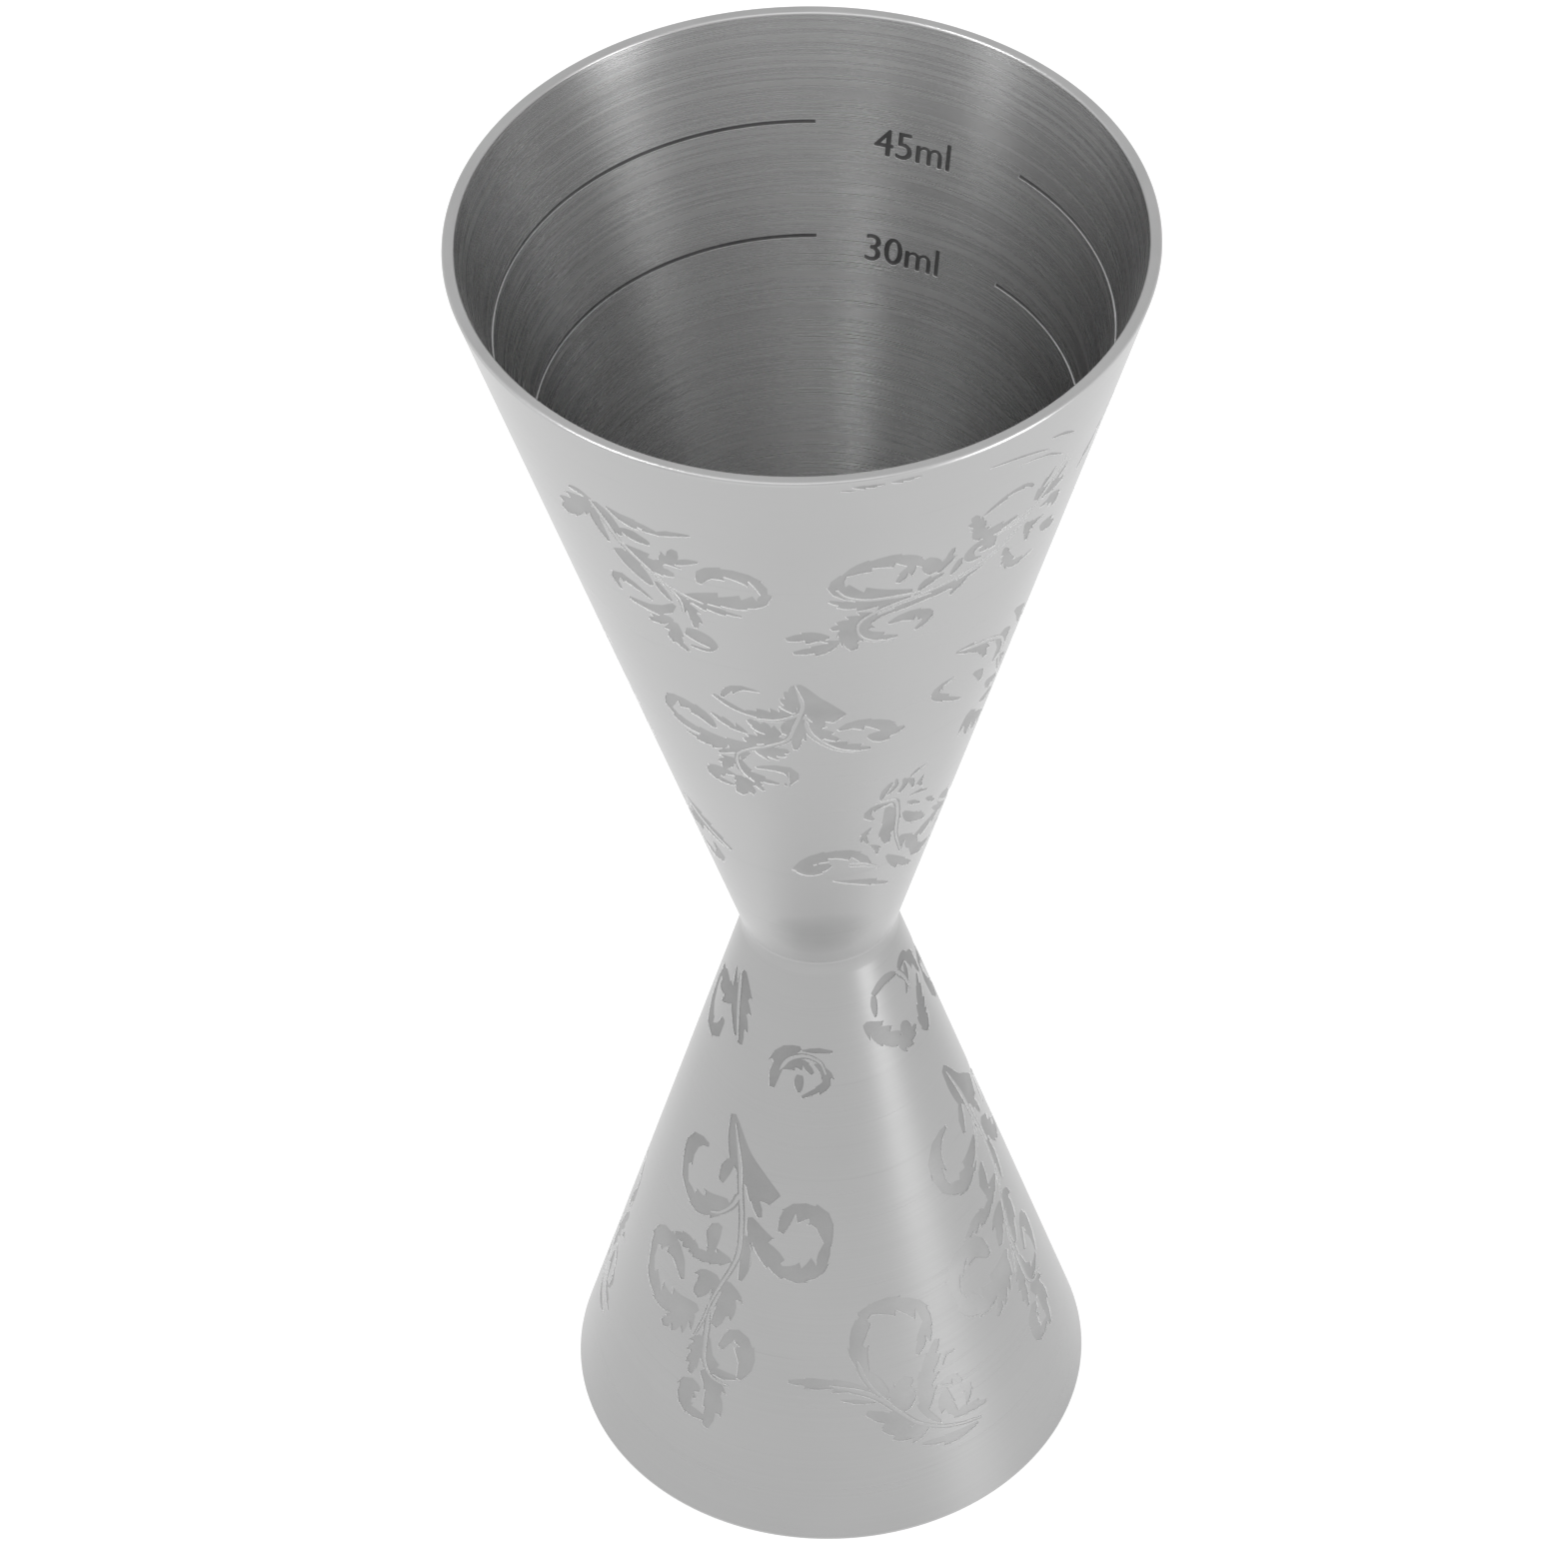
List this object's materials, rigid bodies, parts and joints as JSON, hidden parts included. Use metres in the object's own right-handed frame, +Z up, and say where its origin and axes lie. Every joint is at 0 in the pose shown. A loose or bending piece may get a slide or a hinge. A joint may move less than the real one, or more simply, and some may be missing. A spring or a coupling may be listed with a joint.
{
  "type": "bar jigger",
  "caption": "Double-ended spun steel jigger: two cones joined at a narrow waist measure spirits, with etched foliage outside and graduation lines in the larger cup.",
  "frame": {"origin": "centre of the small cup's rim, in the plane that the jigger stands on", "axes": "+Z up along the axis of both cones, from the small rim to the large one; -Y is the front, and the numerals inside the large cup are read from there"},
  "size_m": [0.0526, 0.0526, 0.125],
  "materials": {
    "large_cup_steel": "satin outside with darker etched foliage, turned finish with fine rings inside, bright lip",
    "small_cup_steel": "satin outside with darker etched foliage, turned finish with fine rings inside, bright lip",
    "dressed_weld": "ground and polished flush with the cups",
    "braze_alloy": "dull as cast, hidden between the floors"
  },
  "bodies": {
    "root": {"large_cup": "large_cup_steel", "small_cup": "small_cup_steel", "waist_weld_bead": "dressed_weld", "floor_braze": "braze_alloy"}
  },
  "joints": []
}
